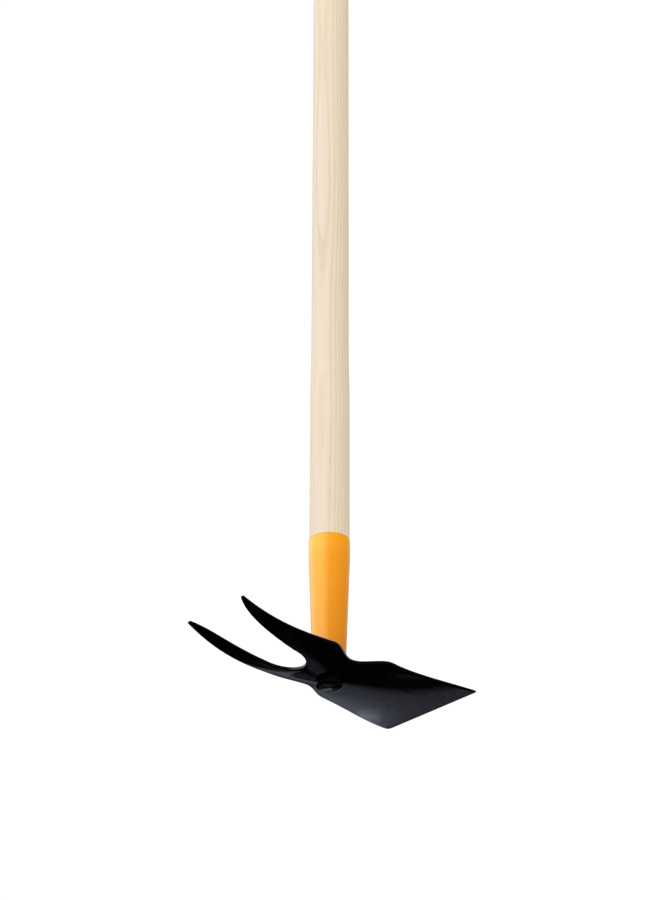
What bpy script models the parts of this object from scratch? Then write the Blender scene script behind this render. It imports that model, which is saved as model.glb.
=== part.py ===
"""Weeding hoe: a hardwood handle in a tapered ferrule, on a forged head with a blade and two tines.

Metres, +Z up. The handle's axis is the Z axis, with the head at its lower end. The blade points along +X
and the tines along -X, and the tool is the same on both sides of Y = 0. The origin is the middle of the
small flat on the crown of the bolt's head, the lowest point of the tool.
"""
import math

import bmesh
import bpy
from mathutils.geometry import intersect_point_line
from mathutils.kdtree import KDTree

CLEARANCE = 0.0003
AROUND = 48
SHARP_ANGLE = math.radians(32)

# Handle: straight round hardwood, thickest above the ferrule
HANDLE_LENGTH = 1.3716
HANDLE_DIAMETER = 0.03175
SHAFT_DIAMETER = 0.0304
GRIP_DIAMETER = 0.0286
THICK_LENGTH = 0.118
THICK_TAPER_LENGTH = 0.062
GRIP_END_ROUNDING = 0.0095
END_GAP = 0.003

# Ferrule: a steel sleeve, straight at its mouth and tapered down to the head
FERRULE_LENGTH = 0.1131
FERRULE_STEP = 0.0004
FERRULE_WALL = 0.0015
FERRULE_MOUTH = 0.0150
FERRULE_FOOT_DIAMETER = 0.0257
FERRULE_LIP_ROUNDING = 0.0006

# Head, seen from above: half widths are at the neck, shoulders, cutting edge, fork and tine tips
NECK_HALF_WIDTH = 0.0276
SHOULDER_REACH = 0.0300
SHOULDER_HALF_WIDTH = 0.0413
BLADE_REACH = 0.1102
EDGE_HALF_WIDTH = 0.0508
CORNER_ROUNDING = 0.0030
FORK_REACH = 0.0268
FORK_HALF_WIDTH = 0.0375
TINE_REACH = 0.1152
TIP_OUTER_HALF_WIDTH = 0.0326
TIP_WIDTH = 0.0030
TINE_OUTER_POWER = 1.6
TINE_POINT_SHARE = 0.5
TINE_POINT_POWER = 6
CROTCH_REACH = 0.0280
CROTCH_DEPTH = 0.0220
CROTCH_HALF_WIDTH = 0.0162

# Head, seen from the side and end
BLADE_RISE = 0.0046
TINE_BEND_REACH = 0.0156
TINE_BEND_RADIUS = 0.2157
DISH_RADIUS = 0.0825
BLADE_FLATTENING = 2.33
TINE_FLATTENING_REACH = 0.0117
TINE_FLATTENING_LENGTH = 0.1032
PLATE_THICKNESS = 0.0034
BLADE_THICKNESS = 0.0017
EDGE_THICKNESS = 0.0010
BEVEL_LENGTH = 0.0036
TIP_THICKNESS = 0.0020
RIM_ROUNDING = 0.0010
RIM_UP_SHARE = 0.45
RIM_ACROSS_SHARE = 0.3
RIM_ROOM = 0.0030
HUB_SWELL = 0.0024

# Socket on top of the hub, which holds the ferrule's foot
SOCKET_DEPTH = 0.0050
SOCKET_WALL = 0.0028
SOCKET_FILLET = 0.0042
SOCKET_LIP_ROUNDING = 0.0008
SEAT_COVER = 0.0004

# Round pad under the hub, a flat seat as wide as the washer
PAD_HEIGHT = 0.0003
PAD_FILLET = 0.0003
PAD_LIP_ROUNDING = 0.0003

# Bolt up through the hub into the handle's end grain, and its washer
BOLT_HEAD_DIAMETER = 0.0212
BOLT_HEAD_HEIGHT = 0.0038
BOLT_FACE_DIAMETER = 0.0050
BOLT_CROWN_ANGLE = math.radians(11)
BOLT_EDGE_ROUNDING = 0.0030
BOLT_LENGTH = 0.0760
SHANK_DIAMETER = 0.0092
SHANK_LENGTH = 0.0240
THREAD_DIAMETER = 0.0096
THREAD_CORE_DIAMETER = 0.0070
THREAD_PITCH = 0.0036
THREAD_STEPS = 20
THREAD_TURNS_IN_SHANK = 1.5
POINT_TURNS = 2.0
POINT_SHARE = 0.35
CREST_SHARE = 0.5
POINT_LENGTH = 0.0030
HOLE_CLEARANCE = 0.0004
PILOT_END_GAP = 0.0030
WASHER_DIAMETER = 0.0206
WASHER_THICKNESS = 0.0010
WASHER_ROUNDING = 0.0003

# Mesh of the head: columns from the middle to one side, and rows along each stretch
CROTCH_COLUMNS = 6
TINE_COLUMNS = 4
CORNER_ROWS = 3
BLADE_ROWS = 10
NECK_ROWS = 12
FORK_ROWS = 7
TINE_ROWS = 16
RIM_STEPS = 2

# Levels along the handle's axis, from the bolt's crown upwards
WASHER_BOTTOM = BOLT_HEAD_HEIGHT + CLEARANCE
WASHER_TOP = WASHER_BOTTOM + WASHER_THICKNESS
PAD_LEVEL = WASHER_TOP + CLEARANCE
HUB_LEVEL = PAD_LEVEL + PAD_HEIGHT
PLATE_LEVEL = HUB_LEVEL + HUB_SWELL
SOCKET_RADIUS = FERRULE_FOOT_DIAMETER / 2 + 2 * CLEARANCE
SEAT_LEVEL = PLATE_LEVEL + PLATE_THICKNESS + SOCKET_RADIUS**2 / (2 * DISH_RADIUS) + SEAT_COVER
SOCKET_TOP = SEAT_LEVEL + SOCKET_DEPTH
FERRULE_BOTTOM = SEAT_LEVEL + CLEARANCE
FERRULE_TOP = FERRULE_BOTTOM + FERRULE_LENGTH
HANDLE_BOTTOM = FERRULE_BOTTOM + END_GAP
HANDLE_TOP = HANDLE_BOTTOM + HANDLE_LENGTH
BOLT_TIP = BOLT_HEAD_HEIGHT + BOLT_LENGTH

# Radii about the handle's axis
SOCKET_OUTER_RADIUS = SOCKET_RADIUS + SOCKET_WALL
BOLT_RADIUS = max(SHANK_DIAMETER, THREAD_DIAMETER) / 2

# Stations along the head
BEVEL_START = BLADE_REACH - BEVEL_LENGTH
FORK_START = -CROTCH_REACH / 2
TINE_ROOT = -CROTCH_REACH - CROTCH_DEPTH


def blend(start, end, share):
    """From start to end with a level beginning and end, as share goes from 0 to 1."""
    share = min(1.0, max(0.0, share))
    return start + (end - start) * share * share * (3 - 2 * share)


def arc(centre, radius, first_deg, last_deg, steps):
    """Points (x, z) on an arc, angles from +X towards +Z."""
    angles = [math.radians(first_deg + (last_deg - first_deg) * i / steps) for i in range(steps + 1)]
    return [(centre[0] + radius * math.cos(a), centre[1] + radius * math.sin(a)) for a in angles]


def material(name, colour, roughness, metallic=0.0, coat=0.0):
    made = bpy.data.materials.new(name)
    made.use_nodes = True
    shader = made.node_tree.nodes["Principled BSDF"]
    shader.inputs["Base Color"].default_value = (*colour, 1.0)
    shader.inputs["Roughness"].default_value = roughness
    shader.inputs["Metallic"].default_value = metallic
    shader.inputs["Coat Weight"].default_value = coat
    made.diffuse_color = (*colour, 1.0)
    return made


def add_object(name, mesh_maker, finish=None):
    """Turns a bmesh into an object with faces pointing out and round parts shaded smooth."""
    bmesh.ops.recalc_face_normals(mesh_maker, faces=mesh_maker.faces)
    mesh = bpy.data.meshes.new(name)
    mesh_maker.to_mesh(mesh)
    mesh_maker.free()
    mesh.shade_smooth()
    mesh.set_sharp_from_angle(angle=SHARP_ANGLE)
    made = bpy.data.objects.new(name, mesh)
    bpy.context.scene.collection.objects.link(made)
    if finish:
        mesh.materials.append(finish)
    return made


def turned(profile, closed=False):
    """Spins a profile of (radius, z) points about the Z axis. A closed profile makes a ring."""
    maker = bmesh.new()
    points = [maker.verts.new((x, 0, z)) for x, z in profile]
    edges = [maker.edges.new(pair) for pair in zip(points, points[1:])]
    if closed:
        edges.append(maker.edges.new((points[-1], points[0])))
    full_turn = {"axis": (0, 0, 1), "cent": (0, 0, 0), "angle": 2 * math.pi}
    bmesh.ops.spin(maker, geom=points + edges, steps=AROUND, use_merge=True, **full_turn)
    bmesh.ops.remove_doubles(maker, verts=maker.verts, dist=1e-6)
    return maker


def guide(name, mesh_maker):
    """A shape that is only added to or cut from a part."""
    made = add_object(name, mesh_maker)
    made.hide_render = True
    made.display_type = "WIRE"
    return made


def combine(target, tool, operation):
    step = target.modifiers.new(f"{operation.lower()}_{tool.name}", "BOOLEAN")
    step.operation = operation
    step.solver = "EXACT"
    step.object = tool


def ferrule_radius(z):
    """Outer radius of the ferrule: straight at the mouth, then a plain taper to the foot."""
    mouth = HANDLE_DIAMETER / 2 + FERRULE_STEP
    share = (FERRULE_TOP - FERRULE_MOUTH - z) / (FERRULE_LENGTH - FERRULE_MOUTH)
    return mouth + (FERRULE_FOOT_DIAMETER / 2 - mouth) * max(0.0, share)


def handle(finish):
    """The wooden handle, with its lower end turned down for the ferrule and bored for the bolt."""
    shoulder = FERRULE_TOP + CLEARANCE
    thick_end = shoulder + THICK_LENGTH
    taper_end = thick_end + THICK_TAPER_LENGTH
    grip_radius = GRIP_DIAMETER / 2
    rounding_centre = (grip_radius - GRIP_END_ROUNDING, HANDLE_TOP - GRIP_END_ROUNDING)
    spigot = FERRULE_WALL + CLEARANCE
    pilot_radius = BOLT_RADIUS + CLEARANCE
    pilot_top = BOLT_TIP + PILOT_END_GAP

    profile = [(0, HANDLE_TOP)]
    profile += reversed(arc(rounding_centre, GRIP_END_ROUNDING, 0, 90, 6))
    profile += [
        (blend(HANDLE_DIAMETER, SHAFT_DIAMETER, (z - thick_end) / THICK_TAPER_LENGTH) / 2, z)
        for z in (taper_end - THICK_TAPER_LENGTH * i / 6 for i in range(7))
    ]
    profile += [(HANDLE_DIAMETER / 2, shoulder), (ferrule_radius(shoulder) - spigot, shoulder)]
    profile += [(ferrule_radius(z) - spigot, z) for z in (FERRULE_TOP - FERRULE_MOUTH, HANDLE_BOTTOM)]
    profile += [(pilot_radius, HANDLE_BOTTOM), (pilot_radius, pilot_top - pilot_radius), (0, pilot_top)]
    return add_object("handle", turned(profile), finish)


def ferrule(finish):
    """The tapered sleeve, with a rounded lip at its mouth."""
    rounding = FERRULE_LIP_ROUNDING
    mouth = ferrule_radius(FERRULE_TOP)
    bend = FERRULE_TOP - FERRULE_MOUTH
    profile = [(mouth - FERRULE_WALL, FERRULE_TOP)]
    profile += reversed(arc((mouth - rounding, FERRULE_TOP - rounding), rounding, 0, 90, 3))
    foot = ferrule_radius(FERRULE_BOTTOM)
    profile += [(mouth, bend), (foot, FERRULE_BOTTOM), (foot - FERRULE_WALL, FERRULE_BOTTOM)]
    profile.append((mouth - FERRULE_WALL, bend))
    return add_object("ferrule", turned(profile, closed=True), finish)


def half_width(x):
    """Half the head's width at x, to its outer edges."""
    if x >= SHOULDER_REACH:
        share = (x - SHOULDER_REACH) / (BLADE_REACH - SHOULDER_REACH)
        in_corner = max(0.0, x - BLADE_REACH + CORNER_ROUNDING)
        cut_off = CORNER_ROUNDING - math.sqrt(CORNER_ROUNDING**2 - min(in_corner, CORNER_ROUNDING) ** 2)
        return blend(SHOULDER_HALF_WIDTH, EDGE_HALF_WIDTH, share) - cut_off
    if x >= 0:
        return blend(NECK_HALF_WIDTH, SHOULDER_HALF_WIDTH, x / SHOULDER_REACH)
    if x >= -FORK_REACH:
        return blend(NECK_HALF_WIDTH, FORK_HALF_WIDTH, -x / FORK_REACH)
    share = (-x - FORK_REACH) / (TINE_REACH - FORK_REACH)
    return FORK_HALF_WIDTH + (TIP_OUTER_HALF_WIDTH - FORK_HALF_WIDTH) * share**TINE_OUTER_POWER


def gap_half_width(x):
    """Half the gap between the tines at x: a steady spread, then a curve out to the points."""
    share = (TINE_ROOT - x) / (TINE_ROOT + TINE_REACH)
    spread = (1 - TINE_POINT_SHARE) * share + TINE_POINT_SHARE * share**TINE_POINT_POWER
    return CROTCH_HALF_WIDTH + (TIP_OUTER_HALF_WIDTH - TIP_WIDTH - CROTCH_HALF_WIDTH) * spread


def thickness(x):
    """Thickness of the forging: drawn thin from the shoulders to the cutting edge and along the tines."""
    if x > BEVEL_START:
        return BLADE_THICKNESS + (EDGE_THICKNESS - BLADE_THICKNESS) * (x - BEVEL_START) / BEVEL_LENGTH
    if x >= 0:
        share = max(0.0, x - SHOULDER_REACH) / (BEVEL_START - SHOULDER_REACH)
        return PLATE_THICKNESS + (BLADE_THICKNESS - PLATE_THICKNESS) * share
    share = max(0.0, -x - FORK_REACH) / (TINE_REACH - FORK_REACH)
    return PLATE_THICKNESS + (TIP_THICKNESS - PLATE_THICKNESS) * share


def plate_bottom(x, y):
    """Height of the plate's lower surface: a keel line, dished up to both sides near the hub."""
    if x >= 0:
        sharpening = (BLADE_THICKNESS - EDGE_THICKNESS) * max(0.0, x - BEVEL_START) / BEVEL_LENGTH
        keel = BLADE_RISE * x / BLADE_REACH + sharpening
        dish = max(0.0, 1 - x / BLADE_REACH) ** BLADE_FLATTENING
    else:
        keel = max(0.0, -x - TINE_BEND_REACH) ** 2 / (2 * TINE_BEND_RADIUS)
        dish = blend(1, 0, (-x - TINE_FLATTENING_REACH) / TINE_FLATTENING_LENGTH)
    return PLATE_LEVEL + keel + dish * y * y / (2 * DISH_RADIUS)


def swell(x, y):
    """How far the thicker hub hangs below the plate: most on the axis, nothing along the outline."""
    if x >= 0:
        along = max(0.0, 1 - x / BLADE_REACH) ** BLADE_FLATTENING
    else:
        along = blend(1, 0, -x / CROTCH_REACH)
    across = max(0.0, 1 - (y / half_width(x)) ** 2)
    return HUB_SWELL * along * across**2


def underside(x, y):
    """Height of the head's lower surface, with the hub's swell."""
    return plate_bottom(x, y) - swell(x, y)


def column_share(column):
    """Where a column of the mesh crosses the body, as a share of its half width."""
    crotch_share = CROTCH_HALF_WIDTH / half_width(TINE_ROOT)
    step = abs(column)
    if step <= CROTCH_COLUMNS:
        share = crotch_share * math.sin(math.pi / 2 * step / CROTCH_COLUMNS)
    else:
        share = crotch_share + (1 - crotch_share) * (step - CROTCH_COLUMNS) / TINE_COLUMNS
    return math.copysign(share, column)


def crotch_reach(share):
    """How far the body reaches at a column: to the round crotch between the tines, or to their roots."""
    across = min(1.0, abs(share) * half_width(TINE_ROOT) / CROTCH_HALF_WIDTH)
    return TINE_ROOT + CROTCH_DEPTH * math.sqrt(1 - across**2)


def body_rows():
    """Rows of (x, y) points across the head, from the cutting edge to the tines' roots."""
    half = CROTCH_COLUMNS + TINE_COLUMNS
    shares = [column_share(c) for c in range(-half, half + 1)]
    turns = [math.pi / 2 * i / CORNER_ROWS for i in range(CORNER_ROWS + 1)]
    blade, neck = SHOULDER_REACH - BEVEL_START, FORK_START - SHOULDER_REACH
    stations = [BLADE_REACH - CORNER_ROUNDING * (1 - math.cos(turn)) for turn in turns]
    stations += [BEVEL_START + blade * i / BLADE_ROWS for i in range(BLADE_ROWS)]
    stations += [SHOULDER_REACH + neck * i / NECK_ROWS for i in range(NECK_ROWS + 1)]
    rows = [[(x, half_width(x) * share) for share in shares] for x in stations]
    for i in range(1, FORK_ROWS + 1):
        ends = [FORK_START + (crotch_reach(share) - FORK_START) * i / FORK_ROWS for share in shares]
        rows.append([(x, half_width(x) * share) for x, share in zip(ends, shares)])
    return rows


def join_rows(maker, first, second):
    """Four-sided faces between two rows of as many vertices."""
    for k in range(len(first) - 1):
        maker.faces.new((first[k], first[k + 1], second[k + 1], second[k]))


def tip_steps(steps):
    """The columns along the blunt tip of a tine, drawn in from its two corners."""
    inner, outer = steps[0], steps[-1]
    near = [inner + drawn_in(step - inner, -TINE_REACH) for step in steps[1:-1] if step - inner < outer - step]
    far = [outer - drawn_in(outer - step, -TINE_REACH) for step in steps[1:-1] if step - inner >= outer - step]
    return [inner, *near, *far, outer]


def head_plan():
    """The head's outline from above, filled with a mesh of four-sided faces."""
    maker = bmesh.new()
    body = [[maker.verts.new((x, y, 0)) for x, y in row] for row in body_rows()]
    for first, second in zip(body, body[1:]):
        join_rows(maker, first, second)
    for side in (-1, 1):
        row = body[-1][:: -side][TINE_COLUMNS::-1]
        for i in range(1, TINE_ROWS + 1):
            x = TINE_ROOT + (-TINE_REACH - TINE_ROOT) * i / TINE_ROWS
            inner, outer = gap_half_width(x), half_width(x)
            steps = [inner + (outer - inner) * k / TINE_COLUMNS for k in range(TINE_COLUMNS + 1)]
            if i == TINE_ROWS:
                steps = tip_steps(steps)
            following = [maker.verts.new((x, side * step, 0)) for step in steps]
            join_rows(maker, row, following)
            row = following
    bmesh.ops.recalc_face_normals(maker, faces=maker.faces)
    return maker


def rim_rounding(x):
    """Radius of the rounded rim at x, where the forging is thinner or narrower than elsewhere."""
    return min(RIM_ROUNDING, RIM_UP_SHARE * thickness(x), RIM_ACROSS_SHARE * breadth(x))


def breadth(x):
    """How much metal there is across one tine at x, or across half the body."""
    return half_width(x) - gap_half_width(x) if x < TINE_ROOT else half_width(x)


def drawn_in(away, x):
    """Where a point that lies away from the rim at x goes, to leave room for the rounding."""
    room = min(RIM_ROOM, breadth(x) / 2)
    rounding = rim_rounding(x)
    return away if away >= room else rounding + away * (1 - rounding / room)


def make_room(plan, outline):
    """Draws the plan's inner points in from its outline, so that the rim's rounding has room beside them."""
    nearby = KDTree(len(outline))
    for number, vert in enumerate(outline):
        nearby.insert(vert.co, number)
    nearby.balance()
    moves = []
    for vert in plan.verts:
        if vert.is_boundary:
            continue
        feet = []
        for _, number, _ in nearby.find_n(vert.co, 3):
            for edge in outline[number].link_edges:
                if edge.is_boundary:
                    start, end = edge.verts[0].co, edge.verts[1].co
                    share = intersect_point_line(vert.co, start, end)[1]
                    foot = start.lerp(end, min(1.0, max(0.0, share)))
                    feet.append(((vert.co - foot).length, foot))
        away, foot = min(feet, key=lambda pair: pair[0])
        moves.append((vert, foot + (vert.co - foot) * (drawn_in(away, foot.x) / away)))
    for vert, place in moves:
        vert.co = place


def outward(vert):
    """Unit direction out of the plan at a vertex on its outline."""
    total_x = total_y = 0.0
    for edge in vert.link_edges:
        if edge.is_boundary:
            middle = edge.link_faces[0].calc_center_median()
            along = edge.verts[1].co - edge.verts[0].co
            normal_x, normal_y = along.y, -along.x
            towards = edge.verts[0].co - middle
            if normal_x * towards.x + normal_y * towards.y < 0:
                normal_x, normal_y = -normal_x, -normal_y
            length = math.hypot(normal_x, normal_y)
            total_x += normal_x / length
            total_y += normal_y / length
    length = math.hypot(total_x, total_y)
    return total_x / length, total_y / length


def plate():
    """The forged plate as a closed solid, its edges rounded all the way round."""
    plan = head_plan()
    make_room(plan, [vert for vert in plan.verts if vert.is_boundary])
    maker = bmesh.new()
    rings = {}
    for vert in plan.verts:
        x, y = vert.co.x, vert.co.y
        low, thick = plate_bottom(x, y), thickness(x)
        if not vert.is_boundary:
            rings[vert] = [maker.verts.new((x, y, low - swell(x, y))), maker.verts.new((x, y, low + thick))]
            continue
        out_x, out_y = outward(vert)
        rounding = rim_rounding(x)
        lower = arc((-rounding, low + rounding), rounding, -90, 0, RIM_STEPS)
        upper = arc((-rounding, low + thick - rounding), rounding, 0, 90, RIM_STEPS)
        ring = [(x + out_x * step, y + out_y * step, z) for step, z in lower + upper]
        rings[vert] = [maker.verts.new(point) for point in ring]
    for face in plan.faces:
        maker.faces.new([rings[v][0] for v in face.verts])
        maker.faces.new([rings[v][-1] for v in reversed(face.verts)])
    for edge in plan.edges:
        if edge.is_boundary:
            start, end = (rings[v] for v in edge.verts)
            for k in range(len(start) - 1):
                maker.faces.new((start[k], end[k], end[k + 1], start[k + 1]))
    plan.free()
    return maker


def socket():
    """The round seat and its wall on top of the hub, with a fillet down to the plate."""
    foot_radius = SOCKET_OUTER_RADIUS + SOCKET_FILLET
    bottom = plate_bottom(0, foot_radius) + SEAT_COVER
    fillet_centre = (foot_radius, bottom + SEAT_COVER + SOCKET_FILLET)
    lip = SOCKET_LIP_ROUNDING
    profile = [(0, SEAT_LEVEL), (SOCKET_RADIUS, SEAT_LEVEL), (SOCKET_RADIUS, SOCKET_TOP)]
    profile += reversed(arc((SOCKET_OUTER_RADIUS - lip, SOCKET_TOP - lip), lip, 0, 90, 3))
    profile += arc(fillet_centre, SOCKET_FILLET, 180, 270, 5)
    profile += [(foot_radius, bottom), (0, bottom)]
    return turned(profile)


def pad():
    """The low round pad under the hub, with a small fillet up to the plate."""
    pad_radius = WASHER_DIAMETER / 2
    foot_radius = pad_radius + PAD_FILLET
    top = underside(0, foot_radius) + 2 * SEAT_COVER
    lip = PAD_LIP_ROUNDING
    profile = [(0, top), (foot_radius, top)]
    profile += arc((foot_radius, top - SEAT_COVER - PAD_FILLET), PAD_FILLET, 90, 180, 4)
    profile += reversed(arc((pad_radius - lip, PAD_LEVEL + lip), lip, -90, 0, 2))
    profile.append((0, PAD_LEVEL))
    return turned(profile)


def bolt_hole():
    """The hole up through the pad and the hub, to the socket's seat."""
    hole_radius = BOLT_RADIUS + HOLE_CLEARANCE
    above, below = SEAT_LEVEL + PLATE_THICKNESS, PAD_LEVEL - PLATE_THICKNESS
    return turned([(0, above), (hole_radius, above), (hole_radius, below), (0, below)])


def head(finish):
    """Blade, hub, socket, pad and tines, forged in one piece."""
    made = add_object("head", plate(), finish)
    combine(made, guide("socket_guide", socket()), "UNION")
    combine(made, guide("pad_guide", pad()), "UNION")
    combine(made, guide("bolt_hole_guide", bolt_hole()), "DIFFERENCE")
    return made


def thread():
    """A coarse wood thread that winds up from the shank and draws in to a point."""
    start = BOLT_HEAD_HEIGHT + SHANK_LENGTH - THREAD_PITCH * THREAD_TURNS_IN_SHANK
    length = BOLT_TIP - POINT_LENGTH - start - THREAD_PITCH
    last = round(length / THREAD_PITCH * THREAD_STEPS)
    maker = bmesh.new()

    def place(step, radius, rise):
        turns_left = (last - step) / THREAD_STEPS
        radius *= blend(POINT_SHARE, 1, turns_left / POINT_TURNS)
        angle = 2 * math.pi * step / THREAD_STEPS
        z = start + THREAD_PITCH * (step / THREAD_STEPS + rise)
        return maker.verts.new((radius * math.cos(angle), radius * math.sin(angle), z))

    roots = [place(i, THREAD_CORE_DIAMETER / 2, 0) for i in range(last + THREAD_STEPS + 1)]
    crests = [place(i, THREAD_DIAMETER / 2, CREST_SHARE) for i in range(last + 1)]
    for i in range(last):
        maker.faces.new((roots[i], roots[i + 1], crests[i + 1], crests[i]))
        maker.faces.new((crests[i], crests[i + 1], roots[i + 1 + THREAD_STEPS], roots[i + THREAD_STEPS]))
    bottom = maker.verts.new((0, 0, start + THREAD_PITCH * CREST_SHARE))
    tip = maker.verts.new((0, 0, BOLT_TIP))
    for i in range(THREAD_STEPS):
        maker.faces.new((bottom, roots[i + 1], roots[i]))
        maker.faces.new((tip, roots[last + i], roots[last + i + 1]))
    maker.faces.new((bottom, roots[0], crests[0]))
    maker.faces.new((bottom, crests[0], roots[THREAD_STEPS]))
    maker.faces.new((tip, crests[last], roots[last]))
    maker.faces.new((tip, roots[last + THREAD_STEPS], crests[last]))
    return maker


def bolt_head():
    """Profile of the bolt's head, from its rim at the washer to the flat on its crown."""
    rounding = BOLT_EDGE_ROUNDING
    edge_reach = BOLT_HEAD_DIAMETER / 2 - rounding
    crown_radius = edge_reach / math.sin(BOLT_CROWN_ANGLE) + rounding
    crown_start = math.degrees(BOLT_CROWN_ANGLE) - 90
    crown_end = math.degrees(math.asin(BOLT_FACE_DIAMETER / 2 / crown_radius)) - 90
    edge_centre = (edge_reach, (rounding - crown_radius) * math.cos(BOLT_CROWN_ANGLE))
    edge = arc(edge_centre, rounding, 0, crown_start, 6)
    crown = arc((0, 0), crown_radius, crown_start, crown_end, 5)
    lowest = crown[-1][1]
    return [(BOLT_HEAD_DIAMETER / 2, BOLT_HEAD_HEIGHT)] + [(x, z - lowest) for x, z in edge + crown[1:]]


def bolt(finish):
    """A lag bolt with a low domed head and a small flat on its crown."""
    shank_radius, shank_top = SHANK_DIAMETER / 2, BOLT_HEAD_HEIGHT + SHANK_LENGTH
    profile = [(0, shank_top), (shank_radius, shank_top), (shank_radius, BOLT_HEAD_HEIGHT)]
    made = add_object("bolt", turned(profile + bolt_head() + [(0, 0)]), finish)
    combine(made, guide("thread_guide", thread()), "UNION")
    return made


def washer(finish):
    """The flat washer between the bolt's head and the hub."""
    inner = BOLT_RADIUS + CLEARANCE
    outer = WASHER_DIAMETER / 2
    rounding = WASHER_ROUNDING
    profile = [(inner, WASHER_TOP)]
    profile += reversed(arc((outer - rounding, WASHER_TOP - rounding), rounding, 0, 90, 2))
    profile += reversed(arc((outer - rounding, WASHER_BOTTOM + rounding), rounding, -90, 0, 2))
    profile.append((inner, WASHER_BOTTOM))
    return add_object("washer", turned(profile, closed=True), finish)


def build():
    for old in list(bpy.data.objects):
        bpy.data.objects.remove(old)
    wood = material("hardwood", (0.76, 0.60, 0.40), 0.45)
    orange = material("orange_enamel", (0.90, 0.36, 0.02), 0.32, coat=0.4)
    black = material("black_enamel", (0.012, 0.012, 0.014), 0.22, coat=0.5)
    dark_steel = material("dark_steel", (0.03, 0.03, 0.033), 0.38, metallic=0.6)
    handle(wood)
    ferrule(orange)
    head(black)
    bolt(black)
    washer(dark_steel)


build()
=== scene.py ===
"""Weeding hoe: materials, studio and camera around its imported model.

Metres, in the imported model's frame: the handle stands on the Z axis, the blade points along +X and the
tines along -X, and the origin is the middle of the small flat on the crown of the bolt's head.
"""
import math

import bmesh
import bpy
from mathutils import Matrix, Vector
from mathutils.geometry import intersect_point_line
from mathutils.kdtree import KDTree


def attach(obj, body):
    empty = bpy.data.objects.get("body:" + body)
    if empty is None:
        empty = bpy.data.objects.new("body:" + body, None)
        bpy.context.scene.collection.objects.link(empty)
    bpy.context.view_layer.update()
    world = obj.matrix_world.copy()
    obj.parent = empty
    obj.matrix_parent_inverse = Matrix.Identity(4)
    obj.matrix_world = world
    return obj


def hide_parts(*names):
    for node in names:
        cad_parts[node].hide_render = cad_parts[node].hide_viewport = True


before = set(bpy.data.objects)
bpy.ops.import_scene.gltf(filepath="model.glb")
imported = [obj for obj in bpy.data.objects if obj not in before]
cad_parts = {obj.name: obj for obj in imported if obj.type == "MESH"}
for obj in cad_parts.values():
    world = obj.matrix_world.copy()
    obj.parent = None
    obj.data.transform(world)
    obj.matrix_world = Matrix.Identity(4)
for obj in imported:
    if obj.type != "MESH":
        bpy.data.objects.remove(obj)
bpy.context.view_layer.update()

# Camera: below the head, looking up the handle
FRAME_WIDTH = 660
FRAME_HEIGHT = 900
ANCHOR = (0, 0, 0.0047)
ANCHOR_PIXEL = (329.0, 683.6)
CAMERA_DISTANCE = 2.702
CAMERA_AZIMUTH = math.radians(41.75)
CAMERA_ELEVATION = math.radians(23.5)
CAMERA_ROLL = math.radians(-0.17)
CAMERA_CLIP = (0.05, 200)
SENSOR_WIDTH = 36
LENS = 140

# Floor, and the distances between which its own glow comes up to meet the backdrop
FLOOR_LEVEL = -1.25
FLOOR_RADIUS = 60
FLOOR_SIDES = 96
FLOOR_GREY = (0.80, 0.80, 0.80, 1.0)
FLOOR_FADE = (3, 30)
FLOOR_GLOW = 0.22

# Softbox on the side of the tines
KEY_SIZE = 1.8
KEY_ENERGY = 16
KEY_PLACE = (-2.6, 0.4, 1.9)
KEY_AIM = (0, 0, 0.4)

# Light that isn't mirrored: the backdrop that the camera sees, and an even light with two soft lobes.
# A direction is an azimuth from +X towards +Y and an elevation, in degrees. A lobe has its direction, the
# angles from it at which it is full and at which it is gone, and its strength.
BACKDROP = 1.06
EVEN_LEVEL = 0.93
EVEN_LOBES = ((174, 30, 10, 80, 0.20), (215, 5, 10, 85, 0.55))

# Light that the paint mirrors. An edge of a card has two directions on it, and how many degrees past it
# the light starts and is full. Its foot is the elevations between which the light comes up.
CARD_HEART = (49.6, -22.3, 0.8, 4.1, 1.4)
CARD_LIMIT = (50, -10, 25, 35, 1)
CARD_RIM = ((45, -20), (54, -2), -5.0, -2.6)
CARD_RIM_STRENGTH = 0.083
CARD_FACE = ((45, -20), (54, -2), -2.8, 5.1)
CARD_FACE_STRENGTH = 0.346
CARD_SIDE = ((57, 5), (53.8, -20), -0.6, 1.2)
CARD_FOOT = (-25.9, -17.7)
SIDE_CARD_LEFT = ((55, -34), (55, -12), -0.2, 0.9)
SIDE_CARD_RIGHT = ((58, -12), (58, -34), -0.9, 0.9)
SIDE_CARD_LIMIT = (57, -28, 11, 15, 0.08)
BOLT_CARD = (40, 0, 5, 10, 0.50)
HUB_CARD = (49.5, -41, 2, 8.5, 0.135)
HIGH_LOBES = ((150, 27, 20, 75, 1.6), (48, 30, 25, 70, 0.4))

# Heights of a unit direction between which mirrored light changes: high lobes in, dim light from below
# up to the horizon with its two strengths, and the floor's tint out
HIGH_START = (0.22, 0.38)
LOW_LIGHT = (-0.10, 0.30, 0.001, 0.08)
FLOOR_TINT_END = (0.0, 0.15)
FLOOR_TINT = (0.88, 0.95, 1.18)

# Wood: place and lean of the tree's centre line, the rings, and the direction across the handle in which the
# wood is painted from pale to yellowish. This is painted shading: the side turned away from the key light is
# painted yellower
PITH_PLACE = (0.046, 0.019, 0)
PITH_LEAN = (0.0035, -0.0050, 0)
RING_WIDTH = 0.0030
RING_WANDER = 0.0080
RING_RIPPLE = 0.0011
# Painted shading: the handle's tone turns yellower towards this side, the one turned away from the key light
PAINTED_SHADE_SIDE = (0.746, -0.666, 0.0)
PAINTED_SHADE_STREAK = 0.024
PALE_WOOD = (0.658, 0.578, 0.488)
PAINTED_SHADE_YELLOW = (0.735, 0.622, 0.430)
EARLY_WOOD = (0.590, 0.480, 0.355)
FIBRE = (0.600, 0.480, 0.350)
STREAK = (0.650, 0.515, 0.415)
BLOTCH = (0.720, 0.620, 0.430)
PORE = (0.400, 0.285, 0.180)
END_GRAIN = (0.520, 0.370, 0.225)

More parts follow.
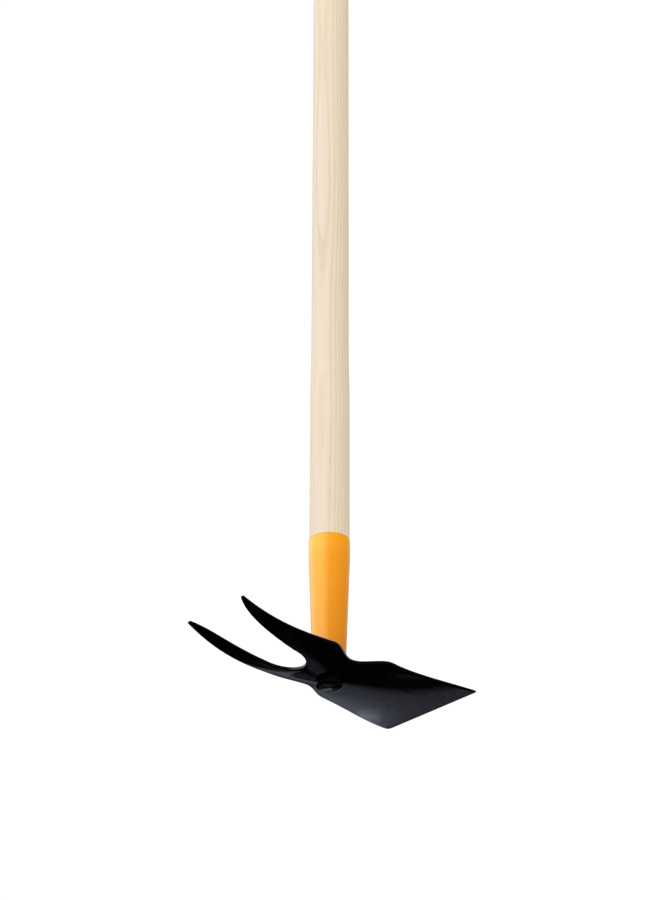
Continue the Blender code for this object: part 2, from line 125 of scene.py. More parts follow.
# Paint and steel: a pair of colours is what a finish varies between, the ground edge is the stretch of x
# in which it starts, and the turning pitch is from one mark to the next
ORANGE = ((0.990, 0.330, 0.003), (1.000, 0.362, 0.005))
THIN_ORANGE = (0.720, 0.150, 0.002)
ORANGE_GLOSS = (1.0, 1.0, 0.38, 1.0)
BLACK_PAINT = ((0.0004, 0.0004, 0.0005), (0.0009, 0.0009, 0.0011))
BOLT_BLACK = ((0.0008, 0.0008, 0.0009), (0.0022, 0.0021, 0.0022))
WASHER_STEEL = ((0.0015, 0.0015, 0.0016), (0.0035, 0.0034, 0.0034))
DUST = (0.012, 0.012, 0.011)
RUBBED_STEEL = (0.012, 0.012, 0.011)
RUBBED_BLACK = (0.012, 0.012, 0.012)
GROUND_EDGE = (0.1062, 0.1068)
TURNING_PITCH = 0.0004

# Values between which a noise mostly lies, and depths of the fine relief
NOISE_SPREAD = (0.2, 0.8)
WOOD_RELIEF = 0.00005
ORANGE_PEEL = 0.00001
HAMMERED_RELIEF = 0.00012
TURNED_RELIEF = 0.000006
SATIN_RELIEF = 0.00002

# Head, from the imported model's source
NECK_HALF_WIDTH = 0.0276
SHOULDER_REACH = 0.0300
SHOULDER_HALF_WIDTH = 0.0413
BLADE_REACH = 0.1102
EDGE_HALF_WIDTH = 0.0508
CORNER_ROUNDING = 0.0030
FORK_REACH = 0.0268
FORK_HALF_WIDTH = 0.0375
TINE_REACH = 0.1152
TIP_OUTER_HALF_WIDTH = 0.0326
TIP_WIDTH = 0.0030
TINE_OUTER_POWER = 1.6
TINE_POINT_SHARE = 0.5
TINE_POINT_POWER = 6
CROTCH_REACH = 0.0280
CROTCH_DEPTH = 0.0220
CROTCH_HALF_WIDTH = 0.0162
PLATE_LEVEL = 0.0081
HUB_SWELL = 0.0024
BLADE_RISE = 0.0046
TINE_BEND_REACH = 0.0156
TINE_BEND_RADIUS = 0.2157
DISH_RADIUS = 0.0825
BLADE_FLATTENING = 2.33
TINE_FLATTENING_REACH = 0.0117
TINE_FLATTENING_LENGTH = 0.1032
PLATE_THICKNESS = 0.0034
BLADE_THICKNESS = 0.0017
EDGE_THICKNESS = 0.0010
BEVEL_LENGTH = 0.0036
TIP_THICKNESS = 0.0020
RIM_ROUNDING = 0.0010
RIM_UP_SHARE = 0.45
RIM_ACROSS_SHARE = 0.3
RIM_ROOM = 0.0030
SOCKET_RADIUS = 0.01345
SOCKET_OUTER_RADIUS = 0.01625
SOCKET_FILLET = 0.0042
SOCKET_FILLET_SHARE = 0.75
SOCKET_LIP = 0.0008
SEAT_LEVEL = 0.012996
SOCKET_TOP = 0.017996
PAD_RADIUS = 0.0103
PAD_LEVEL = 0.0054
PAD_FILLET = 0.0003
PAD_FILLET_SHARE = 0.5
PAD_LIP = 0.0003
PAD_LIP_SHARE = 0.3
HOLE_RADIUS = 0.0052
BEVEL_START = BLADE_REACH - BEVEL_LENGTH
FORK_START = -0.0235
TINE_ROOT = -CROTCH_REACH - CROTCH_DEPTH

# Mesh of the head: the angle over which an edge is sharp, columns from the middle to one side, rows along
# each stretch, rings round the hub, steps along the profiles inside the rings, and how many points of the
# rim are tried for the one nearest to a point
SHARP_ANGLE = math.radians(32)
CROTCH_COLUMNS = 16
TINE_COLUMNS = 8
CORNER_ROWS = 9
BEVEL_ROWS = 3
BLADE_ROWS = 44
NECK_ROWS = 42
FORK_ROWS = 26
TINE_ROWS = 64
RIM_STEPS = 5
HUB_RADIUS = 0.0215
HUB_FRONT = 0.0270
HUB_RINGS = 9
PAD_APPROACH_STEPS = 8
PAD_FILLET_STEPS = 6
PAD_LIP_STEPS = 3
SOCKET_APPROACH_STEPS = 3
SOCKET_FILLET_STEPS = 9
SOCKET_LIP_STEPS = 4
RIM_POINTS_TRIED = 3


def add(tree, kind, inputs=None, **settings):
    """Adds a shader node. Its inputs, by name or number, are plain values or outputs of other nodes."""
    made = tree.nodes.new("ShaderNode" + kind)
    for name, value in settings.items():
        setattr(made, name, value)
    for name, value in (inputs or {}).items():
        if isinstance(value, bpy.types.NodeSocket):
            tree.links.new(value, made.inputs[name])
        else:
            made.inputs[name].default_value = value
    return made


def math_node(tree, operation, *values):
    return add(tree, "Math", dict(enumerate(values)), operation=operation).outputs[0]


def times(tree, first, *others):
    for other in others:
        first = math_node(tree, "MULTIPLY", first, other)
    return first


def plus(tree, first, *others):
    for other in others:
        first = math_node(tree, "ADD", first, other)
    return first


def reach(tree, vector, way):
    """How far a vector reaches in a direction."""
    return add(tree, "VectorMath", {0: vector, 1: way}, operation="DOT_PRODUCT").outputs["Value"]


def from_axis(tree, place):
    """How far a place is from the Z axis."""
    x, y, _ = add(tree, "SeparateXYZ", {0: place}).outputs
    return math_node(tree, "SQRT", plus(tree, times(tree, x, x), times(tree, y, y)))


def smooth(tree, value, low, high, start=0.0, end=1.0):
    """Goes smoothly from start to end as value goes from low to high."""
    sockets = {"Value": value, "From Min": low, "From Max": high, "To Min": start, "To Max": end}
    return add(tree, "MapRange", sockets, interpolation_type="SMOOTHSTEP").outputs[0]


def uneven(tree, grain, start, end):
    """Goes from start to end over the usual spread of a noise."""
    return smooth(tree, grain, *NOISE_SPREAD, start, end)


def worn(tree, low, high):
    """Goes from 0 to 1 towards edges that stand out, between two values of pointiness."""
    return smooth(tree, add(tree, "NewGeometry").outputs["Pointiness"], low, high)


def mix(tree, factor, first, second):
    """A mix of two colours, each a triple or an output of another node."""
    sides = [side if isinstance(side, bpy.types.NodeSocket) else (*side, 1.0) for side in (first, second)]
    sockets = {0: factor, 6: sides[0], 7: sides[1]}
    return add(tree, "Mix", sockets, data_type="RGBA", blend_type="MIX").outputs[2]


def noise(tree, place, scale, detail, roughness=0.5, along=1.0):
    """Noise from 0 to 1, scale grains to the metre, drawn out along the handle where along is under 1."""
    if along != 1.0:
        place = add(tree, "VectorMath", {0: place, 1: (1, 1, along)}, operation="MULTIPLY").outputs[0]
    sockets = {"Vector": place, "Scale": scale, "Detail": detail, "Roughness": roughness}
    return add(tree, "TexNoise", sockets).outputs["Fac"]


def material(name, **sockets):
    """A new material, its tree and its shader. Values that are the same all over are set on the shader."""
    made = bpy.data.materials.new(name)
    made.use_nodes = True
    shader = made.node_tree.nodes["Principled BSDF"]
    for socket, value in sockets.items():
        shader.inputs[socket.replace("_", " ")].default_value = value
    return made, made.node_tree, shader


def textured(tree, shader, tone, gloss, height, depth):
    """Links a shader to its colour, its roughness, and a fine relief of the given depth."""
    tree.links.new(tone, shader.inputs["Base Color"])
    tree.links.new(gloss, shader.inputs["Roughness"])
    relief = add(tree, "Bump", {"Height": height, "Distance": depth, "Strength": 1.0})
    tree.links.new(relief.outputs[0], shader.inputs["Normal"])


def hardwood():
    """Pale open-grained hardwood under a thin satin lacquer."""
    made, tree, shader = material("hardwood_satin", Specular_IOR_Level=0.25, IOR=1.45)
    place = add(tree, "TexCoord").outputs["Object"]
    sockets = {"Vector": place, "Location": PITH_PLACE, "Rotation": PITH_LEAN}
    from_pith = from_axis(tree, add(tree, "Mapping", sockets).outputs[0])
    wander = times(tree, noise(tree, place, 9, 1, along=0.35), RING_WANDER)
    ripple = times(tree, noise(tree, place, 90, 2, along=0.12), RING_RIPPLE)
    rings = times(tree, plus(tree, from_pith, plus(tree, wander, ripple)), 1 / RING_WIDTH)
    ring = math_node(tree, "FRACT", rings)
    early = times(tree, smooth(tree, ring, 0.0, 0.06), smooth(tree, ring, 0.22, 0.50, 1.0, 0.0))
    fibres = noise(tree, place, 1500, 3, 0.6, along=0.018)
    streaks = noise(tree, place, 210, 2, 0.6, along=0.04)
    blotches = noise(tree, place, 14, 2, along=0.25)
    holes = smooth(tree, noise(tree, place, 2300, 1, along=0.045), 0.60, 0.74)
    pores = times(tree, holes, plus(tree, times(tree, early, 0.8), 0.2))
    up = add(tree, "SeparateXYZ", {0: add(tree, "NewGeometry").outputs["Normal"]}).outputs[2]
    end_grain = smooth(tree, up, 0.55, 0.95, 0.0, 0.30)
    fine_streaks = noise(tree, place, 330, 2, 0.6, along=0.03)
    # Painted shading: the wood is tinted yellower towards the side turned away from the key light, with
    # streaks along its border
    towards_painted_shade = math_node(tree, "MULTIPLY_ADD", fine_streaks, PAINTED_SHADE_STREAK, reach(tree, place, PAINTED_SHADE_SIDE))
    tone = mix(tree, smooth(tree, towards_painted_shade, -0.004, 0.026), PALE_WOOD, PAINTED_SHADE_YELLOW)
    layers = (
        (times(tree, early, 0.60), EARLY_WOOD),
        (smooth(tree, fibres, 0.25, 0.75, 0.0, 0.30), FIBRE),
        (smooth(tree, streaks, 0.48, 0.64, 0.0, 0.50), STREAK),
        (smooth(tree, blotches, 0.3, 0.7, 0.0, 0.35), BLOTCH),
        (times(tree, pores, 0.28), PORE),
        (end_grain, END_GRAIN),
    )
    for share, colour in layers:
        tone = mix(tree, share, tone, colour)
    gloss = uneven(tree, fibres, 0.38, 0.50)
    gloss = plus(tree, gloss, times(tree, pores, 0.2), times(tree, end_grain, 0.5))
    height = math_node(tree, "SUBTRACT", times(tree, fibres, 0.4), pores)
    textured(tree, shader, tone, gloss, height, WOOD_RELIEF)
    return made


def orange_enamel():
    """Glossy orange paint with a slight orange peel, thinner along the lip of the ferrule."""
    made, tree, shader = material("orange_enamel_gloss", IOR=2.1, Specular_Tint=ORANGE_GLOSS,
                                  Coat_Weight=0.7, Coat_Roughness=0.14, Coat_Tint=ORANGE_GLOSS)
    place = add(tree, "TexCoord").outputs["Object"]
    tone = mix(tree, noise(tree, place, 40, 3), *ORANGE)
    tone = mix(tree, times(tree, worn(tree, 0.52, 0.60), 0.5), tone, THIN_ORANGE)
    gloss = uneven(tree, noise(tree, place, 120, 3), 0.26, 0.33)
    textured(tree, shader, tone, gloss, noise(tree, place, 650, 2), ORANGE_PEEL)
    return made


def black_enamel():
    """Black paint over forged steel: low hammered unevenness, fine peel, and a satin ground edge."""
    made, tree, shader = material("black_enamel_gloss", IOR=1.5)
    place = add(tree, "TexCoord").outputs["Object"]
    x = add(tree, "SeparateXYZ", {0: place}).outputs[0]
    ground = smooth(tree, x, *GROUND_EDGE)
    dust = smooth(tree, noise(tree, place, 1700, 2), 0.66, 0.76)
    tone = mix(tree, noise(tree, place, 30, 3), *BLACK_PAINT)
    tone = mix(tree, times(tree, dust, 0.15), tone, DUST)
    gloss = plus(tree, uneven(tree, noise(tree, place, 70, 3), 0.09, 0.13), times(tree, ground, 0.35))
    hammered = times(tree, noise(tree, place, 90, 1), 0.6)
    peel = times(tree, noise(tree, place, 800, 2), 0.10)
    textured(tree, shader, tone, gloss, plus(tree, hammered, peel), HAMMERED_RELIEF)
    return made


def dark_steel():
    """Blackened steel of the washer, with faint turning marks and rubbed edges."""
    made, tree, shader = material("blackened_steel", Specular_IOR_Level=0.30)
    place = add(tree, "TexCoord").outputs["Object"]
    turning = math_node(tree, "SINE", times(tree, from_axis(tree, place), 2 * math.pi / TURNING_PITCH))
    tone = mix(tree, noise(tree, place, 220, 3), *WASHER_STEEL)
    tone = mix(tree, times(tree, worn(tree, 0.52, 0.62), 0.3), tone, RUBBED_STEEL)
    gloss = uneven(tree, noise(tree, place, 400, 3), 0.32, 0.50)
    textured(tree, shader, tone, gloss, turning, TURNED_RELIEF)
    return made


def satin_black():
    """Satin black of the bolt: fine grain, and a little rubbed where its head turns."""
    made, tree, shader = material("satin_black", IOR=1.5)
    place = add(tree, "TexCoord").outputs["Object"]
    tone = mix(tree, noise(tree, place, 260, 3), *BOLT_BLACK)
    tone = mix(tree, times(tree, worn(tree, 0.53, 0.62), 0.3), tone, RUBBED_BLACK)
    gloss = uneven(tree, noise(tree, place, 500, 3), 0.09, 0.14)
    textured(tree, shader, tone, gloss, noise(tree, place, 1100, 2), SATIN_RELIEF)
    return made


def dressed(node, finish):
    """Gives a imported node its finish."""
    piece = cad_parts[node]
    piece.data.materials.clear()
    piece.data.materials.append(finish)


def blend(start, end, share):
    """From start to end with a level beginning and end, as share goes from 0 to 1."""
    share = min(1.0, max(0.0, share))
    return start + (end - start) * share * share * (3 - 2 * share)


def arc(centre, radius, first, last, steps):
    """Points (across, up) on an arc, angles in radians from across towards up."""
    angles = [first + (last - first) * i / steps for i in range(steps + 1)]
    return [(centre[0] + radius * math.cos(a), centre[1] + radius * math.sin(a)) for a in angles]


def half_width(x):
    """Half the head's width at x, to its outer edges."""
    if x >= SHOULDER_REACH:
        share = (x - SHOULDER_REACH) / (BLADE_REACH - SHOULDER_REACH)
        in_corner = min(CORNER_ROUNDING, max(0.0, x - BLADE_REACH + CORNER_ROUNDING))
        cut_off = CORNER_ROUNDING - math.sqrt(CORNER_ROUNDING**2 - in_corner**2)
        return blend(SHOULDER_HALF_WIDTH, EDGE_HALF_WIDTH, share) - cut_off
    if x >= 0:
        return blend(NECK_HALF_WIDTH, SHOULDER_HALF_WIDTH, x / SHOULDER_REACH)
    if x >= -FORK_REACH:
        return blend(NECK_HALF_WIDTH, FORK_HALF_WIDTH, -x / FORK_REACH)
    share = (-x - FORK_REACH) / (TINE_REACH - FORK_REACH)
    return FORK_HALF_WIDTH + (TIP_OUTER_HALF_WIDTH - FORK_HALF_WIDTH) * share**TINE_OUTER_POWER


def gap_half_width(x):
    """Half the gap between the tines at x."""
    share = (TINE_ROOT - x) / (TINE_ROOT + TINE_REACH)
    spread = (1 - TINE_POINT_SHARE) * share + TINE_POINT_SHARE * share**TINE_POINT_POWER
    return CROTCH_HALF_WIDTH + (TIP_OUTER_HALF_WIDTH - TIP_WIDTH - CROTCH_HALF_WIDTH) * spread


def thickness(x):
    """Thickness of the forging, drawn thin to the cutting edge and along the tines."""
    if x > BEVEL_START:
        return BLADE_THICKNESS + (EDGE_THICKNESS - BLADE_THICKNESS) * (x - BEVEL_START) / BEVEL_LENGTH
    if x >= 0:
        share = max(0.0, x - SHOULDER_REACH) / (BEVEL_START - SHOULDER_REACH)
        return PLATE_THICKNESS + (BLADE_THICKNESS - PLATE_THICKNESS) * share
    share = max(0.0, -x - FORK_REACH) / (TINE_REACH - FORK_REACH)
    return PLATE_THICKNESS + (TIP_THICKNESS - PLATE_THICKNESS) * share


def plate_bottom(x, y):
    """Height of the plate's lower surface: a keel line, dished up to both sides near the hub."""
    if x >= 0:
        sharpening = (BLADE_THICKNESS - EDGE_THICKNESS) * max(0.0, x - BEVEL_START) / BEVEL_LENGTH
        keel = BLADE_RISE * x / BLADE_REACH + sharpening
        dish = max(0.0, 1 - x / BLADE_REACH) ** BLADE_FLATTENING
    else:
        keel = max(0.0, -x - TINE_BEND_REACH) ** 2 / (2 * TINE_BEND_RADIUS)
        dish = blend(1, 0, (-x - TINE_FLATTENING_REACH) / TINE_FLATTENING_LENGTH)
    return PLATE_LEVEL + keel + dish * y * y / (2 * DISH_RADIUS)


def swell(x, y):
    """How far the thicker hub hangs below the plate."""
    if x >= 0:
        along = max(0.0, 1 - x / BLADE_REACH) ** BLADE_FLATTENING
    else:
        along = blend(1, 0, -x / CROTCH_REACH)
    across = max(0.0, 1 - (y / half_width(x)) ** 2)
    return HUB_SWELL * along * across**2


def underside(x, y):
    """Height of the head's lower surface, with the hub's swell."""
    return plate_bottom(x, y) - swell(x, y)


def column_shares():
    """Where the columns cross the body, as shares of its half width."""
    crotch = CROTCH_HALF_WIDTH / half_width(TINE_ROOT)
    inner = [crotch * math.sin(math.pi / 2 * i / CROTCH_COLUMNS) for i in range(CROTCH_COLUMNS + 1)]
    outer = [crotch + (1 - crotch) * i / TINE_COLUMNS for i in range(1, TINE_COLUMNS + 1)]
    one_side = inner[1:] + outer
    return [-share for share in reversed(one_side)] + [0.0] + one_side


def crotch_reach(share):
    """How far the body reaches at a column: to the round crotch between the tines, or to their roots."""
    across = min(1.0, abs(share) * half_width(TINE_ROOT) / CROTCH_HALF_WIDTH)
    return TINE_ROOT + CROTCH_DEPTH * math.sqrt(1 - across**2)


def body_rows(shares):
    """Rows of (x, y) points from the cutting edge to the tines' roots, and which two rows meet the hub."""
    turns = [math.pi / 2 * i / CORNER_ROWS for i in range(CORNER_ROWS + 1)]
    corner_end = BLADE_REACH - CORNER_ROUNDING
    stations = [BLADE_REACH - CORNER_ROUNDING * (1 - math.cos(turn)) for turn in turns]
    stations += [corner_end + (BEVEL_START - corner_end) * i / BEVEL_ROWS for i in range(1, BEVEL_ROWS + 1)]
    stations += [BEVEL_START + (HUB_FRONT - BEVEL_START) * i / BLADE_ROWS for i in range(1, BLADE_ROWS + 1)]
    front = len(stations) - 1
    stations += [HUB_FRONT + (FORK_START - HUB_FRONT) * i / NECK_ROWS for i in range(1, NECK_ROWS + 1)]
    back = len(stations) - 1
    rows = [[(x, half_width(x) * share) for share in shares] for x in stations]
    for i in range(1, FORK_ROWS + 1):
        ends = [FORK_START + (crotch_reach(share) - FORK_START) * i / FORK_ROWS for share in shares]
        rows.append([(x, half_width(x) * share) for x, share in zip(ends, shares)])
    return rows, front, back


def join_rows(maker, first, second):
    """Four-sided faces between two rows of as many vertices."""
    for a, b, c, d in zip(first, first[1:], second[1:], second):
        maker.faces.new((a, b, c, d))


def tip_steps(steps):
    """The columns along the blunt tip of a tine, drawn in from its two corners."""
    inner, outer = steps[0], steps[-1]
    between = []
    for step in steps[1:-1]:
        if step - inner < outer - step:
            between.append(inner + drawn_in(step - inner, -TINE_REACH))
        else:
            between.append(outer - drawn_in(outer - step, -TINE_REACH))
    return [inner, *between, outer]


def head_plan():
    """The head seen from above, in four-sided faces round a circular hole, and the rim of that hole."""
    maker = bmesh.new()
    rows, front, back = body_rows(column_shares())
    ends = (0, -1)
    body = []
    for number, row in enumerate(rows):
        if front < number < back:
            body.append([maker.verts.new((*row[end], 0)) for end in ends])
        else:
            body.append([maker.verts.new((*point, 0)) for point in row])
    for number, (first, second) in enumerate(zip(body, body[1:])):
        if number < front or number >= back:
            join_rows(maker, first, second)
    around = list(body[front]) + [row[1] for row in body[front + 1:back]]
    around += list(reversed(body[back])) + [row[0] for row in reversed(body[front + 1:back])]
    ring = around
    for number in range(1, HUB_RINGS + 1):
        share = number / HUB_RINGS
        following = []
        for outer in around:
            angle = math.atan2(outer.co.y, outer.co.x)
            inner_x, inner_y = HUB_RADIUS * math.cos(angle), HUB_RADIUS * math.sin(angle)
            x, y = outer.co.x + (inner_x - outer.co.x) * share, outer.co.y + (inner_y - outer.co.y) * share
            following.append(maker.verts.new((x, y, 0)))
        join_rows(maker, ring + ring[:1], following + following[:1])
        ring = following
    for side in (-1, 1):
        row = body[-1][:: -side][TINE_COLUMNS::-1]
        for i in range(1, TINE_ROWS + 1):
            x = TINE_ROOT + (-TINE_REACH - TINE_ROOT) * i / TINE_ROWS
            inner, outer = gap_half_width(x), half_width(x)
            steps = [inner + (outer - inner) * k / TINE_COLUMNS for k in range(TINE_COLUMNS + 1)]
            if i == TINE_ROWS:
                steps = tip_steps(steps)
            following = [maker.verts.new((x, side * step, 0)) for step in steps]
            join_rows(maker, row, following)
            row = following
    bmesh.ops.recalc_face_normals(maker, faces=maker.faces)
    return maker, ring


def rim_rounding(x):
    """Radius of the rounded rim at x, where the forging is thinner or narrower than elsewhere."""
    return min(RIM_ROUNDING, RIM_UP_SHARE * thickness(x), RIM_ACROSS_SHARE * breadth(x))


def breadth(x):
    """How much metal there is across one tine at x, or across half the body."""
    return half_width(x) - gap_half_width(x) if x < TINE_ROOT else half_width(x)


def drawn_in(away, x):
    """Where a point that lies away from the rim at x goes, to leave room for the rounding."""
    room = min(RIM_ROOM, breadth(x) / 2)
    rounding = rim_rounding(x)
    return away if away >= room else rounding + away * (1 - rounding / room)


def make_room(plan, outline):
    """Draws the plan's inner points in from its outline, so that the rim's rounding has room beside them."""
    nearby = KDTree(len(outline))
    for number, vert in enumerate(outline):
        nearby.insert(vert.co, number)
    nearby.balance()
    moves = []
    for vert in plan.verts:
        if vert.is_boundary:
            continue
        feet = []
        for _, number, _ in nearby.find_n(vert.co, RIM_POINTS_TRIED):
            for edge in outline[number].link_edges:
                if edge.is_boundary:
                    start, end = edge.verts[0].co, edge.verts[1].co
                    share = intersect_point_line(vert.co, start, end)[1]
                    foot = start.lerp(end, min(1.0, max(0.0, share)))
                    feet.append(((vert.co - foot).length, foot))
        away, foot = min(feet, key=lambda pair: pair[0])
        moves.append((vert, foot + (vert.co - foot) * (drawn_in(away, foot.x) / away)))
    for vert, place in moves:
        vert.co = place


def outward(vert):
    """Unit direction out of the plan at a vertex on its outline."""
    total_x = total_y = 0.0
    for edge in vert.link_edges:
        if edge.is_boundary:
            middle = edge.link_faces[0].calc_center_median()
            along = edge.verts[1].co - edge.verts[0].co
            across_x, across_y = along.y, -along.x
            towards = edge.verts[0].co - middle
            if across_x * towards.x + across_y * towards.y < 0:
                across_x, across_y = -across_x, -across_y
            length = math.hypot(across_x, across_y)
            total_x += across_x / length
            total_y += across_y / length
    length = math.hypot(total_x, total_y)
    return total_x / length, total_y / length


def approach(surface, start, steps):
    """Points on a surface from the hub's rim in to start, without the two ends."""
    radii = [HUB_RADIUS + (start - HUB_RADIUS) * i / steps for i in range(1, steps)]
    return [(r, surface(r)) for r in radii]


def slope(surface, radius, step):
    """Angle at which a surface rises outwards, measured over a step to each side."""
    return math.atan((surface(radius + step) - surface(radius - step)) / (2 * step))


def pad_profile(cos_a, sin_a):
    """From the hub's rim in to the bolt hole, along one direction: plate, fillet, pad wall and pad face."""
    def surface(r):
        return underside(r * cos_a, r * sin_a)

    tall = surface(PAD_RADIUS) - PAD_LEVEL
    fillet, lip = min(PAD_FILLET, PAD_FILLET_SHARE * tall), min(PAD_LIP, PAD_LIP_SHARE * tall)
    foot = PAD_RADIUS + fillet
    tilt = slope(surface, foot, fillet / 2)
    centre = (foot, surface(foot) - fillet / math.cos(tilt))
    curve = arc(centre, fillet, math.pi / 2 + tilt, math.pi, PAD_FILLET_STEPS)
    profile = approach(surface, curve[0][0], PAD_APPROACH_STEPS) + curve
    profile += arc((PAD_RADIUS - lip, PAD_LEVEL + lip), lip, 0, -math.pi / 2, PAD_LIP_STEPS)
    return profile + [(HOLE_RADIUS, PAD_LEVEL)]


def socket_profile(cos_a, sin_a):
    """From the hub's rim in to the bolt hole, along one direction: plate, fillet, socket wall and seat."""
    def surface(r):
        x = r * cos_a
        return plate_bottom(x, r * sin_a) + thickness(x)

    tall = SOCKET_TOP - SOCKET_LIP - surface(SOCKET_OUTER_RADIUS)
    fillet = min(SOCKET_FILLET, SOCKET_FILLET_SHARE * tall)
    foot = SOCKET_OUTER_RADIUS + fillet
    tilt = slope(surface, foot, fillet / 8)
    centre = (foot, surface(foot) + fillet / math.cos(tilt))
    curve = arc(centre, fillet, -math.pi / 2 + tilt, -math.pi, SOCKET_FILLET_STEPS)
    profile = approach(surface, curve[0][0], SOCKET_APPROACH_STEPS) + curve
    lip_middle = (SOCKET_OUTER_RADIUS - SOCKET_LIP, SOCKET_TOP - SOCKET_LIP)
    profile += arc(lip_middle, SOCKET_LIP, 0, math.pi / 2, SOCKET_LIP_STEPS)
    return profile + [(SOCKET_RADIUS, SOCKET_TOP), (SOCKET_RADIUS, SEAT_LEVEL), (HOLE_RADIUS, SEAT_LEVEL)]


def head_mesh():
    """The forging as one closed mesh: blade, hub with its socket and pad, and tines."""
    plan, hub = head_plan()
    on_hub = set(hub)
    make_room(plan, [vert for vert in plan.verts if vert.is_boundary and vert not in on_hub])
    maker = bmesh.new()
    rings = {}
    for vert in plan.verts:
        x, y = vert.co.x, vert.co.y
        low, thick = plate_bottom(x, y), thickness(x)
        if not vert.is_boundary or vert in on_hub:
            rings[vert] = [maker.verts.new((x, y, low - swell(x, y))), maker.verts.new((x, y, low + thick))]
            continue
        out_x, out_y = outward(vert)
        rounding = rim_rounding(x)
        lower = arc((-rounding, low + rounding), rounding, -math.pi / 2, 0, RIM_STEPS)
        upper = arc((-rounding, low + thick - rounding), rounding, 0, math.pi / 2, RIM_STEPS)
        rings[vert] = [maker.verts.new((x + out_x * step, y + out_y * step, z)) for step, z in lower + upper]
    for face in plan.faces:
        maker.faces.new([rings[v][0] for v in face.verts])
        maker.faces.new([rings[v][-1] for v in reversed(face.verts)])
    for edge in plan.edges:
        if edge.is_boundary and not (edge.verts[0] in on_hub and edge.verts[1] in on_hub):
            start, end = (rings[v] for v in edge.verts)
            join_rows(maker, start, end)
    spokes = []
    for vert in hub:
        radius = math.hypot(vert.co.x, vert.co.y)
        cos_a, sin_a = vert.co.x / radius, vert.co.y / radius
        below = [maker.verts.new((r * cos_a, r * sin_a, z)) for r, z in pad_profile(cos_a, sin_a)]
        above = [maker.verts.new((r * cos_a, r * sin_a, z)) for r, z in socket_profile(cos_a, sin_a)]
        spokes.append([rings[vert][0], *below, *reversed(above), rings[vert][-1]])
    for first, second in zip(spokes, spokes[1:] + spokes[:1]):
        join_rows(maker, first, second)
    plan.free()
    bmesh.ops.recalc_face_normals(maker, faces=maker.faces)
    return maker


def forging(finish):
    """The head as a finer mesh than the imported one, in its place."""
    data = bpy.data.meshes.new("forging")
    maker = head_mesh()
    maker.to_mesh(data)
    maker.free()
    data.shade_smooth()
    data.set_sharp_from_angle(angle=SHARP_ANGLE)
    data.materials.append(finish)
    piece = bpy.data.objects.new("forging", data)
    bpy.context.scene.collection.objects.link(piece)
    evened = piece.modifiers.new("evened_normals", "WEIGHTED_NORMAL")
    evened.keep_sharp = True
    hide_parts("head")
    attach(piece, "root")


def direction(azimuth, elevation):
    """Unit vector for an azimuth from +X towards +Y and an elevation, in degrees."""
    a, e = math.radians(azimuth), math.radians(elevation)
    return math.cos(a) * math.cos(e), math.sin(a) * math.cos(e), math.sin(e)


def studio():
    """A white backdrop with an even light, and the softboxes and dark cards that the paint mirrors."""
    world = bpy.data.worlds.new("studio")
    bpy.context.scene.world = world
    world.use_nodes = True
    tree = world.node_tree
    towards = add(tree, "TexCoord").outputs["Generated"]
    up = add(tree, "SeparateXYZ", {0: towards}).outputs[2]

    def lobe(azimuth, elevation, inner, outer, strength):
        """A round patch of light, full within inner degrees of its middle and gone at outer degrees."""
        facing = reach(tree, towards, direction(azimuth, elevation))
        gone, full = math.cos(math.radians(outer)), math.cos(math.radians(inner))
        return smooth(tree, facing, gone, full, 0.0, strength)

    def past(first, second, start, full):
        """Light left of the line from one direction to the next, from start to full degrees past it."""
        side = Vector(direction(*second)).cross(Vector(direction(*first))).normalized()
        facing = reach(tree, towards, side)
        return smooth(tree, facing, math.sin(math.radians(start)), math.sin(math.radians(full)))

    rim = times(tree, past(*CARD_RIM), CARD_RIM_STRENGTH)
    face = times(tree, past(*CARD_FACE), CARD_FACE_STRENGTH)
    cards = plus(tree, rim, face, lobe(*CARD_HEART))
    lit_from = smooth(tree, up, *(math.sin(math.radians(elevation)) for elevation in CARD_FOOT))
    cards = times(tree, cards, lit_from, past(*CARD_SIDE), lobe(*CARD_LIMIT))
    side_card = times(tree, past(*SIDE_CARD_LEFT), past(*SIDE_CARD_RIGHT), lobe(*SIDE_CARD_LIMIT))
    high = plus(tree, *(lobe(*values) for values in HIGH_LOBES))
    high = times(tree, high, smooth(tree, up, *HIGH_START))
    below = smooth(tree, up, *LOW_LIGHT)
    mirrored = plus(tree, below, cards, side_card, lobe(*BOLT_CARD), lobe(*HUB_CARD), high)
    even = plus(tree, *(lobe(*values) for values in EVEN_LOBES), EVEN_LEVEL)
    rays = add(tree, "LightPath").outputs
    diffuse = times(tree, rays["Is Diffuse Ray"], even)
    seen = times(tree, rays["Is Camera Ray"], BACKDROP)
    glossy = times(tree, rays["Is Glossy Ray"], mirrored)
    low_gloss = times(tree, rays["Is Glossy Ray"], smooth(tree, up, *FLOOR_TINT_END, 1.0, 0.0))
    shown = tree.nodes["Background"]
    tree.links.new(mix(tree, low_gloss, (1.0, 1.0, 1.0), FLOOR_TINT), shown.inputs["Color"])
    tree.links.new(plus(tree, diffuse, seen, glossy), shown.inputs["Strength"])


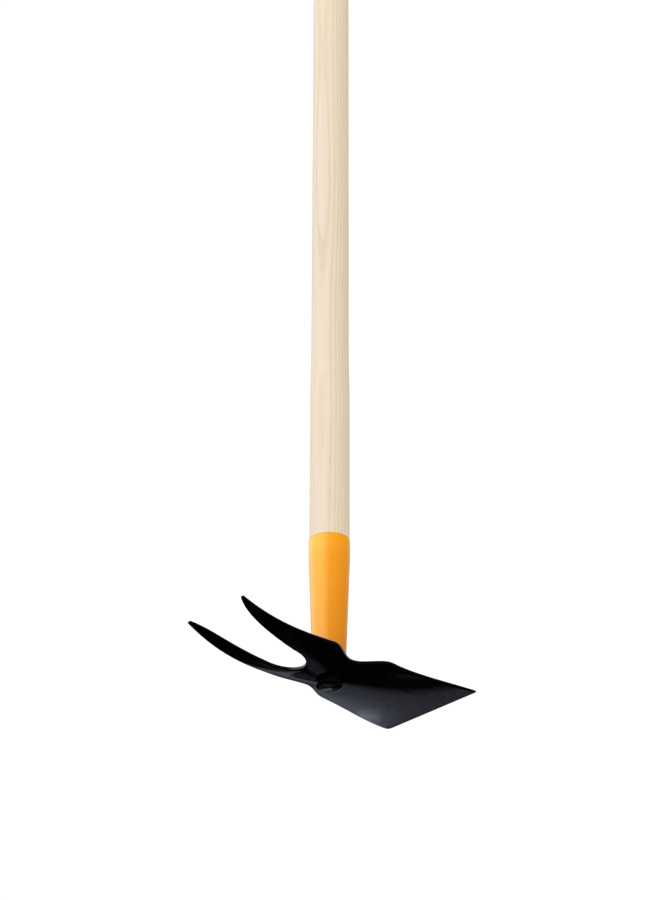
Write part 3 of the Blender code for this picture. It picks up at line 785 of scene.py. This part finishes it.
def floor():
    """A plain pale floor, far below the tool, that meets the backdrop without a line."""
    made, tree, shader = material("pale_floor", Roughness=0.9, Base_Color=FLOOR_GREY, Specular_IOR_Level=0.0,
                                  Emission_Color=(1.0, 1.0, 1.0, 1.0))
    place = add(tree, "TexCoord").outputs["Object"]
    away = add(tree, "VectorMath", {0: place}, operation="LENGTH").outputs["Value"]
    tree.links.new(smooth(tree, away, *FLOOR_FADE, 0.0, FLOOR_GLOW), shader.inputs["Emission Strength"])
    bpy.ops.mesh.primitive_circle_add(vertices=FLOOR_SIDES, radius=FLOOR_RADIUS, fill_type="NGON",
                                      location=(0, 0, FLOOR_LEVEL))
    disc = bpy.context.object
    disc.name = "floor"
    disc.data.materials.append(made)
    disc.visible_glossy = False


def key_light():
    """A large softbox high on the side of the tines."""
    data = bpy.data.lights.new("key", "AREA")
    data.shape = "SQUARE"
    data.size = KEY_SIZE
    data.energy = KEY_ENERGY
    lamp = bpy.data.objects.new("key", data)
    bpy.context.scene.collection.objects.link(lamp)
    lamp.location = KEY_PLACE
    lamp.rotation_mode = "QUATERNION"
    lamp.rotation_quaternion = (Vector(KEY_AIM) - lamp.location).to_track_quat("-Z", "Y")
    lamp.visible_glossy = False


def camera():
    """The photograph's camera, turned so that the middle of the bolt's head lies on its pixel."""
    data = bpy.data.cameras.new("photo_camera")
    data.sensor_width = SENSOR_WIDTH
    data.lens = LENS
    data.clip_start, data.clip_end = CAMERA_CLIP
    focal = LENS / SENSOR_WIDTH * FRAME_HEIGHT
    across, down = ANCHOR_PIXEL[0] - FRAME_WIDTH / 2, ANCHOR_PIXEL[1] - FRAME_HEIGHT / 2
    level, rise = math.cos(CAMERA_ELEVATION), math.sin(CAMERA_ELEVATION)
    ray = Vector((math.sin(CAMERA_AZIMUTH) * level, math.cos(CAMERA_AZIMUTH) * level, rise))
    aimed = Vector((across, -down, -focal)).rotation_difference(Vector((0, 0, -1)))
    leaned = Matrix.Rotation(CAMERA_ROLL, 3, ray).to_quaternion()
    made = bpy.data.objects.new("photo_camera", data)
    bpy.context.scene.collection.objects.link(made)
    made.location = Vector(ANCHOR) - ray * CAMERA_DISTANCE
    made.rotation_mode = "QUATERNION"
    made.rotation_quaternion = leaned @ ray.to_track_quat("-Z", "Y") @ aimed
    bpy.context.scene.camera = made


camera()
studio()
floor()
key_light()
bpy.context.scene.view_settings.view_transform = "Standard"

dressed("handle", hardwood())
dressed("ferrule", orange_enamel())
forging(black_enamel())
dressed("bolt", satin_black())
dressed("washer", dark_steel())
